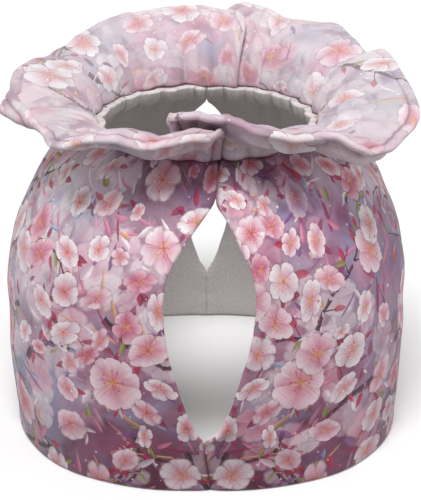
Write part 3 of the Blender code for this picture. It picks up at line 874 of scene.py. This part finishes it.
def blossom_group(name, soft):
    """Five spoon-shaped petals of unequal length, a blushing throat, fine veins and a fan of stamens. soft is a
    faint ghost of one."""
    tree, q, given, result = new_group(name, [("Under", "NodeSocketColor"), ("At", "NodeSocketColor"),
                                              ("Wx", "NodeSocketFloat"), ("Wy", "NodeSocketFloat"), ("Shade", "NodeSocketColor")])
    x, y, ident = q.parts(given["At"])
    x, y = q.m("ADD", x, given["Wx"]), q.m("ADD", y, given["Wy"])
    r = q.far(x, y)
    angle = q.m("ARCTAN2", y, x)
    turn = q.m("MULTIPLY_ADD", angle, 5 / (2 * math.pi), 2.5)
    petal, sector = q.m("FLOOR", turn), q.m("SUBTRACT", q.m("FRACT", turn), 0.5)
    pick, picks = q.hash(q.m("MULTIPLY_ADD", ident, 91.7, petal))
    pr, pg, pb = q.parts(picks)
    family, seed = q.m("FLOOR", ident), q.m("FRACT", ident)
    kind = q.m("MULTIPLY_ADD", family, 0.2, 0.1)
    # Each petal leans a little off its place; the ones turned away are shorter
    delta = q.m("MULTIPLY", q.m("ADD", sector, q.m("MULTIPLY_ADD", pr, 0.22, -0.11)), 2 * math.pi / 5)
    px, py = q.m("MULTIPLY", r, q.m("COSINE", delta)), q.m("MULTIPLY", r, q.m("SINE", delta))
    facing = q.m("COSINE", q.m("MULTIPLY_ADD", petal, 2 * math.pi / 5, q.m("MULTIPLY", ident, 57.0)))
    length = q.m("MULTIPLY", q.m("MULTIPLY_ADD", pick, 0.20, 0.82), q.m("MULTIPLY_ADD", facing, 0.10, 0.92))
    e = q.m("DIVIDE", px, length)
    notch = q.m("POWER", q.over0(q.m("MULTIPLY_ADD", q.m("ABSOLUTE", py), -1 / 0.10, 1.0)), 1.4)
    e = q.m("MULTIPLY_ADD", notch, q.m("MULTIPLY_ADD", pg, 0.11, 0.0), e)
    wide = q.m("ADD", q.m("MULTIPLY_ADD", pg, 0.10, 0.32), q.m("MULTIPLY", q.m("FRACT", q.m("MULTIPLY", ident, 7.3)), 0.10))
    half = q.m("MULTIPLY", q.m("MULTIPLY", wide, 2.6), q.m("MULTIPLY", e, q.m("SQRT", q.over0(q.m("SUBTRACT", 1.0, e)))))
    side = q.m("ABSOLUTE", py)
    inside = q.m("MINIMUM", q.m("SUBTRACT", half, side), q.m("MULTIPLY", q.m("SUBTRACT", 1.0, e), 0.8))
    across = q.m("DIVIDE", py, q.m("MAXIMUM", half, 0.03))
    across = q.m("MULTIPLY", across, q.m("SIGN", q.m("SUBTRACT", pb, 0.5)))
    petal_colour = q.ramp(kind, ("#F0E6EA", "#EFCDD8", "#E2A0B6", "#CBAAC4", "#E6D3DC"))
    edge_colour = q.ramp(kind, ("#FBF9F9", "#F9EEF1", "#F4D3DC", "#E6D3E0", "#F3EAEE"))
    shade_colour = q.ramp(kind, ("#C9AFBF", "#CB8EA7", "#B8607F", "#936A92", "#C6A2B8"))
    throat_colour = q.ramp(kind, ("#D65F7E", "#CC4A6C", "#B93A5F", "#8E4377", "#BE7592"))
    # One side of each petal lies in shade; the other and the tip catch the light
    colour = q.mix(q.m("MULTIPLY", q.step(across, -0.15, 1.0), q.m("MULTIPLY_ADD", pr, 0.55, 0.30)), petal_colour, shade_colour)
    colour = q.mix(q.m("MULTIPLY", q.step(across, -0.10, -0.95), 0.75), colour, edge_colour)
    colour = q.mix(q.m("MULTIPLY", q.step(pick, 0.55, 1.0), 0.34), colour, shade_colour)
    colour = q.mix(q.m("MULTIPLY", q.step(e, 0.45, 0.95), q.m("MULTIPLY_ADD", pb, 0.5, 0.3)), colour, edge_colour)
    if not soft:
        # Veins: fine rays that fade towards the rim
        rays = q.m("MULTIPLY_ADD", delta, 19.0, q.m("MULTIPLY_ADD", pick, 53.0, q.m("MULTIPLY", r, q.m("MULTIPLY_ADD", pr, 5.0, -2.5))))
        rays = q.streaks(rays)
        blush = q.m("MULTIPLY_ADD", rays, -1.5, q.m("ADD", e, 0.75))
        blush = q.m("MULTIPLY", q.step(blush, 0.74, 0.05), q.m("MULTIPLY_ADD", seed, 0.45, 0.50))
        colour = q.mix(blush, colour, throat_colour)
        vein = q.m("MULTIPLY", q.step(rays, 0.56, 0.70), q.m("MULTIPLY", q.step(e, 1.0, 0.35), 0.34))
        colour = q.mix(vein, colour, throat_colour)
        fold = q.step(q.m("ABSOLUTE", q.m("SUBTRACT", across, q.m("MULTIPLY_ADD", pr, 0.7, -0.35))), 0.16, 0.0)
        colour = q.mix(q.m("MULTIPLY", fold, q.m("MULTIPLY", q.step(e, 0.98, 0.4), 0.30)), colour, shade_colour)
        # Stamens: threads of unequal length with an anther on each
        count = 13
        fan = q.m("MULTIPLY_ADD", angle, count / (2 * math.pi), count / 2)
        which, off = q.m("FLOOR", fan), q.m("SUBTRACT", q.m("FRACT", fan), 0.5)
        long, longs = q.hash(q.m("MULTIPLY_ADD", ident, 37.3, which))
        lr, lg, lb = q.parts(longs)
        off = q.m("ADD", off, q.m("MULTIPLY_ADD", lr, 0.5, -0.25))
        long = q.m("MULTIPLY_ADD", long, 0.26, 0.16)
        aside = q.m("MULTIPLY", q.m("MULTIPLY", off, 2 * math.pi / count), r)
        thread = q.m("MULTIPLY", q.step(q.m("ABSOLUTE", aside), 0.021, 0.007), q.m("LESS_THAN", r, long))
        colour = q.mix(q.m("MULTIPLY", thread, 0.80), colour, q.ramp(lg, ("#EFAE68", "#E07C55", "#F3D79E", "#D3506A")))
        dot = q.far(q.m("SUBTRACT", r, long), aside)
        colour = q.mix(q.m("MULTIPLY", q.step(dot, 0.040, 0.022), 0.9), colour, q.ramp(lb, ("#E19A3F", "#B9553A", "#F0C55C")))
        heart = q.step(q.m("MULTIPLY_ADD", rays, 0.12, r), 0.18, 0.09)
        colour = q.mix(q.m("MULTIPLY", heart, 0.9), colour, q.ramp(seed, ("#CF6A40", "#DB9A48", "#BFAA4C", "#C4484E")))
    colour = q.mix(1.0, colour, given["Shade"], "MULTIPLY")
    if soft:
        mask = q.m("MULTIPLY", q.step(inside, -0.10, 0.14), q.m("MULTIPLY_ADD", seed, 0.35, 0.40))
        beneath = given["Under"]
    else:
        # Some are painted wet, with a soft outline
        wet = q.m("MULTIPLY_ADD", q.m("GREATER_THAN", q.m("FRACT", q.m("MULTIPLY", ident, 13.7)), 0.72), 0.07, 0.014)
        mask = q.m("DIVIDE", q.m("ADD", inside, wet), q.m("MULTIPLY", wet, 2.0))
        mask = q.m("MULTIPLY", q.m("MINIMUM", q.over0(mask), 1.0), q.m("MULTIPLY_ADD", q.step(kind, 0.65, 0.75), -0.30, 0.97))
        shadow = q.m("MULTIPLY", q.step(inside, -0.17, 0.02), 0.50)
        beneath = q.mix(shadow, given["Under"], linear("#7A3858"))
        line = q.m("MULTIPLY", q.step(q.m("ABSOLUTE", q.m("SUBTRACT", inside, 0.024)), 0.022, 0.006), q.m("MULTIPLY", pb, 0.55))
        colour = q.mix(line, colour, edge_colour)
    q.put(result, q.mix(mask, beneath, colour))
    return tree


def dab_group(name, softness, strength, colours):
    """A tear-shaped touch of the brush."""
    tree, q, given, result = new_group(name, [("Under", "NodeSocketColor"), ("At", "NodeSocketColor"),
                                              ("Wx", "NodeSocketFloat"), ("Wy", "NodeSocketFloat"), ("Shade", "NodeSocketColor")])
    x, y, ident = q.parts(given["At"])
    x, y = q.m("MULTIPLY_ADD", given["Wx"], 3.0, x), q.m("MULTIPLY_ADD", given["Wy"], 3.0, y)
    belly = q.m("MULTIPLY", q.m("POWER", q.over0(q.m("SUBTRACT", 1.0, q.m("MULTIPLY", x, x))), 0.7),
                q.m("MULTIPLY_ADD", x, -0.28, 0.78))
    inside = q.m("SUBTRACT", belly, q.m("ABSOLUTE", y))
    seed = q.m("FRACT", ident)
    base = q.ramp(q.m("MULTIPLY_ADD", q.m("FLOOR", ident), 0.125, 0.06), colours)
    light = q.mix(1.0, base, (1.18, 1.16, 1.16), "MULTIPLY")
    dark = q.mix(1.0, base, (0.72, 0.62, 0.70), "MULTIPLY")
    colour = q.mix(q.step(y, -0.5, 0.5), dark, light)
    colour = q.mix(q.m("MULTIPLY", q.step(x, -0.2, -0.95), 0.45), colour, dark)
    colour = q.mix(1.0, colour, given["Shade"], "MULTIPLY")
    mask = q.m("MULTIPLY", q.step(inside, -softness * 0.5, softness), q.m("MULTIPLY_ADD", seed, 0.25 * strength, 0.75 * strength))
    q.put(result, q.mix(mask, given["Under"], colour))
    return tree


def twig_group(name):
    tree, q, given, result = new_group(name, [("Under", "NodeSocketColor"), ("At", "NodeSocketColor"),
                                              ("Wy", "NodeSocketFloat"), ("Swell", "NodeSocketFloat"), ("Dark", "NodeSocketFloat")])
    x, y, wide = q.parts(given["At"])
    y = q.m("MULTIPLY_ADD", given["Wy"], 16.0, y)
    wide = q.m("MULTIPLY", wide, given["Swell"])
    inside = q.m("SUBTRACT", wide, q.m("ABSOLUTE", y))
    mask = q.m("MULTIPLY", q.step(inside, -0.06, 0.10), q.m("LESS_THAN", q.m("ABSOLUTE", x), 1.0))
    lit = q.step(q.m("DIVIDE", y, q.m("MAXIMUM", wide, 0.1)), -0.4, 0.9)
    colour = q.mix(lit, linear("#3A2030"), linear("#7C5563"))
    colour = q.mix(given["Dark"], colour, linear("#2C1825"))
    q.put(result, q.mix(q.m("MULTIPLY", mask, 0.93), given["Under"], colour))
    return tree


BLOSSOM = blossom_group("Blossom", False)
GHOST = blossom_group("Faint blossom", True)
SOFT = dab_group("Soft touch", 0.75, 0.62, ("#D398B0", "#E3D6DD", "#A45A80", "#9FA9C6", "#C586A4", "#8F86AC", "#DDBAC8", "#8A4E74"))
DAB = dab_group("Brush dab", 0.10, 0.92, ("#BE3352", "#F1EAED", "#DD90A8", "#98A440", "#9DBCD4", "#8A5A92", "#9C2F55", "#E2B184"))
TWIG = twig_group("Twig")


def weave_bump(q, flat, strength, base=None):
    """Fine plain weave in the cloth's own coordinates, threads about 0.32 mm apart."""
    x, y, _ = q.split(flat)
    warp = q.m("SINE", q.m("MULTIPLY", x, 2 * math.pi / 0.64))
    weft = q.m("SINE", q.m("MULTIPLY", y, 2 * math.pi / 0.64))
    height = q.m("MULTIPLY", warp, weft)
    thread = q.m("ADD", q.m("MULTIPLY", q.m("SINE", q.m("MULTIPLY", x, 2 * math.pi / 0.32)), 0.35),
                 q.m("MULTIPLY", q.m("SINE", q.m("MULTIPLY", y, 2 * math.pi / 0.32)), 0.35))
    height = q.m("ADD", height, thread)
    slub = q.noise(flat, 0.45, 2.0, 0.6)
    height = q.m("ADD", height, q.m("MULTIPLY", slub, 3.0))
    n = q.node("ShaderNodeBump")
    n.inputs["Strength"].default_value = strength
    n.inputs["Distance"].default_value = 0.00006
    q.put(n.inputs["Height"], height)
    return n.outputs["Normal"]


def principled(material):
    material.use_nodes = True
    shader = material.node_tree.nodes["Principled BSDF"]
    shader.inputs["Roughness"].default_value = 0.78
    shader.inputs["Sheen Weight"].default_value = 0.25
    shader.inputs["Sheen Roughness"].default_value = 0.45
    shader.inputs["Specular IOR Level"].default_value = 0.32
    return shader, Net(material.node_tree)


def print_material(name, contrast, lift):
    """The painted print. contrast weakens every motif towards a pale ground, for the ruffle."""
    material = bpy.data.materials.new(name)
    shader, q = principled(material)
    uv = q.node("ShaderNodeUVMap", uv_map="cloth").outputs[0]

    def given(label):
        return q.node("ShaderNodeAttribute", attribute_name=label).outputs

    wr, wg, wb = q.parts(q.noise(uv, 0.22, 3.0, 0.55, colour=True))
    wx, wy = q.m("MULTIPLY_ADD", wr, 0.14, -0.07), q.m("MULTIPLY_ADD", wg, 0.14, -0.07)
    # Brush hairs: noise drawn out along a slowly turning diagonal
    hair = q.noise(q.node("ShaderNodeUVMap", uv_map="hair").outputs[0], 0.75, 3.0, 0.65, distortion=0.6)
    grain = q.m("MULTIPLY_ADD", hair, 2.0, -1.0)
    # Watery ground
    ground = given("wash")["Color"]
    blot = q.noise(uv, 0.055, 3.0, 0.55, seed=2.0, distortion=1.2)
    ground = q.mix(q.step(blot, 0.48, 0.66, 0.0, 0.45), ground, q.mix(1.0, ground, (1.25, 1.18, 1.22), "MULTIPLY"))
    ground = q.mix(q.step(blot, 0.50, 0.33, 0.0, 0.85), ground, q.mix(1.0, ground, (0.58, 0.36, 0.50), "MULTIPLY"))
    patch = q.noise(uv, 0.085, 2.0, 0.6, seed=9.0, distortion=0.8)
    ground = q.mix(q.step(patch, 0.58, 0.70, 0.0, 0.45), ground, linear("#D392AC"))
    ground = q.mix(q.step(patch, 0.42, 0.30, 0.0, 0.40), ground, linear("#9C9CBE"))
    shade = q.grey(q.m("MULTIPLY_ADD", grain, 0.20, 1.0))
    # Everything that the motifs share is made once, out here
    swell, dark = q.m("MULTIPLY_ADD", grain, 0.6, 1.0), q.step(grain, -0.2, 0.5)
    colour = q.mix(1.0, ground, shade, "MULTIPLY")
    # Painted light and shade by height
    painted_shading = given("painted_shading")["Fac"]
    colour = q.mix(1.0, colour, q.grey(painted_shading), "MULTIPLY")
    for kind, group in (("soft", SOFT), ("ghost", GHOST), ("twig", TWIG), ("dab", DAB), ("flower", BLOSSOM)):
        for k in range(LAYERS[kind]):
            at = given(f"{kind}_{k}")["Color"]
            if kind == "twig":
                colour = q.call(group, Under=colour, At=at, Wy=wy, Swell=swell, Dark=dark)
            else:
                colour = q.call(group, Under=colour, At=at, Wx=wx, Wy=wy, Shade=shade)
    # Fine splashes of white and rose
    cells = q.node("ShaderNodeTexVoronoi", voronoi_dimensions="2D", feature="F1")
    q.put(cells.inputs["Vector"], uv)
    cells.inputs["Scale"].default_value = 0.19
    cr, cg, cb = q.parts(cells.outputs["Color"])
    drop = q.m("SUBTRACT", q.m("MULTIPLY", q.m("POWER", cr, 3.0), 0.14), cells.outputs["Distance"])
    drop = q.m("MULTIPLY", q.step(drop, -0.02, 0.02), q.m("GREATER_THAN", cg, 0.45))
    colour = q.mix(q.m("MULTIPLY", drop, 0.85), colour, q.ramp(cb, ("#F7F1F3", "#F7F1F3", "#D06A86", "#E9CAD5")))
    if contrast < 1:
        colour = q.mix(1 - contrast, colour, lift)
    # Painted shade, redder where it is deeper: the height shading again, with the dark lines along the seams, the hem's
    # groove and the neck
    painted_shading = q.m("MULTIPLY", q.m("SQRT", given("painted_shading")["Fac"]), given("seam_shade")["Fac"])
    shade_tint = q.node("ShaderNodeCombineColor", mode="RGB")
    for socket, power in zip(shade_tint.inputs, (1.0, 1.45, 1.25)):
        q.put(socket, q.m("POWER", painted_shading, power))
    q.put(shader.inputs["Base Color"], q.mix(1.0, colour, shade_tint.outputs[0], "MULTIPLY"))
    q.put(shader.inputs["Roughness"], q.m("MULTIPLY_ADD", grain, 0.08, 0.74))
    q.put(shader.inputs["Normal"], weave_bump(q, uv, 0.55))
    return material


def reverse_material():
    """The plain reverse of the body cloth."""
    material = bpy.data.materials.new("cosy_reverse")
    shader, q = principled(material)
    uv = q.node("ShaderNodeUVMap", uv_map="cloth").outputs[0]
    fleck = q.noise(uv, 0.9, 3.0, 0.6)
    colour = q.mix(q.step(fleck, 0.35, 0.65), linear("#DAD3D2"), linear("#E9E3E1"))
    show = q.noise(uv, 0.06, 2.0, 0.5)
    colour = q.mix(q.step(show, 0.5, 0.8, 0.0, 0.25), colour, linear("#DCC3CB"))
    q.put(shader.inputs["Base Color"], colour)
    q.put(shader.inputs["Roughness"], q.m("MULTIPLY_ADD", fleck, 0.1, 0.80))
    q.put(shader.inputs["Normal"], weave_bump(q, uv, 0.9))
    return material


body_print = print_material("cosy_body_print", 1.0, None)
frill_print = print_material("cosy_frill_print", 0.72, linear("#DDD8DB"))
reverse = reverse_material()

for piece in (panel_left, panel_right):
    mesh = piece["obj"].data
    mesh.materials.append(body_print)
    mesh.materials.append(reverse)
    which = np.zeros(len(mesh.polygons), np.int32)
    which[piece["n_outer"]:] = 1
    mesh.polygons.foreach_set("material_index", which)
for piece in (ruffle_left, ruffle_right):
    piece["obj"].data.materials.append(frill_print)

thread = bpy.data.materials.new("cosy_thread")
shader, q = principled(thread)
place = q.node("ShaderNodeTexCoord").outputs["Object"]
twist = q.noise(place, 2600.0, 1.0)
q.put(shader.inputs["Base Color"], q.mix(twist, linear("#B795A2"), linear("#DCC3CC")))
q.put(shader.inputs["Roughness"], q.m("MULTIPLY_ADD", twist, 0.2, 0.5))
for obj in (stitches_left, stitches_right):
    obj.data.materials.append(thread)


# =========================================================================================================
#  Pieces in the frame
# =========================================================================================================
for piece, node, slot in ((panel_left, "panel_left", "body_cloth"), (panel_right, "panel_right", "body_cloth"),
                          (ruffle_left, "ruffle_left", "ruffle_cloth"), (ruffle_right, "ruffle_right", "ruffle_cloth")):
    obj = piece["obj"]
    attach(obj, "root")
    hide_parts(node)
    thread_line = {"frill_left": stitches_left, "frill_right": stitches_right}.get(obj.name)
    if thread_line:
        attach(thread_line, "root")


# =========================================================================================================
#  Floor, lights and camera
# =========================================================================================================
scene = bpy.context.scene
bpy.ops.mesh.primitive_plane_add(size=60.0, location=(0, 0, -0.0002))
floor = bpy.context.object
floor.name = "floor"
floor.visible_diffuse = False                          # the sheet of paper throws no light back up
paper = bpy.data.materials.new("floor_paper")
paper.use_nodes = True
paper.node_tree.nodes["Principled BSDF"].inputs["Base Color"].default_value = (0.92, 0.92, 0.92, 1)
paper.node_tree.nodes["Principled BSDF"].inputs["Roughness"].default_value = 0.9
paper.node_tree.nodes["Principled BSDF"].inputs["Specular IOR Level"].default_value = 0.1
floor.data.materials.append(paper)

world = bpy.data.worlds.new("studio")
scene.world = world
world.use_nodes = True
world.node_tree.nodes["Background"].inputs["Color"].default_value = (1.0, 1.0, 1.0, 1)
world.node_tree.nodes["Background"].inputs["Strength"].default_value = 0.30


def area_light(name, at, aim, size, power, colour=(1, 1, 1)):
    light = bpy.data.lights.new(name, "AREA")
    light.shape = "RECTANGLE"
    light.size, light.size_y = size
    light.energy = power
    light.color = colour
    obj = bpy.data.objects.new(name, light)
    scene.collection.objects.link(obj)
    from mathutils import Vector
    obj.location = at
    obj.rotation_euler = (Vector(aim) - Vector(at)).to_track_quat("-Z", "Y").to_euler()
    return obj


key = bpy.data.lights.new("key", "SUN")
key.energy, key.angle = 2.45, rad(26)
key_object = bpy.data.objects.new("key", key)
scene.collection.objects.link(key_object)
key_object.rotation_euler = (rad(24), 0.0, rad(-10))
area_light("back_fill", (0.25, 1.1, 0.9), (0, 0, 0.08), (0.9, 0.9), 1.2)
area_light("left_box", (-1.0, -0.30, 0.30), (0, 0, 0.09), (0.8, 0.6), 2.8)
area_light("right_box", (1.0, -0.25, 0.30), (0, 0, 0.09), (0.8, 0.6), 3.3)


camera = bpy.data.cameras.new("camera")
camera.sensor_fit = "HORIZONTAL"
camera.sensor_width = 36.0
camera.lens = 36.0 * 1744.9 / 421
camera.clip_start, camera.clip_end = 0.01, 20.0
eye = bpy.data.objects.new("camera", camera)
scene.collection.objects.link(eye)
eye.location = (0.0, -0.7107, 0.3871)
eye.rotation_euler = (rad(90 - 23.873), 0.0, -4.1 / 1744.9)
scene.camera = eye
scene.view_settings.view_transform = "Standard"
scene.view_settings.look = "None"
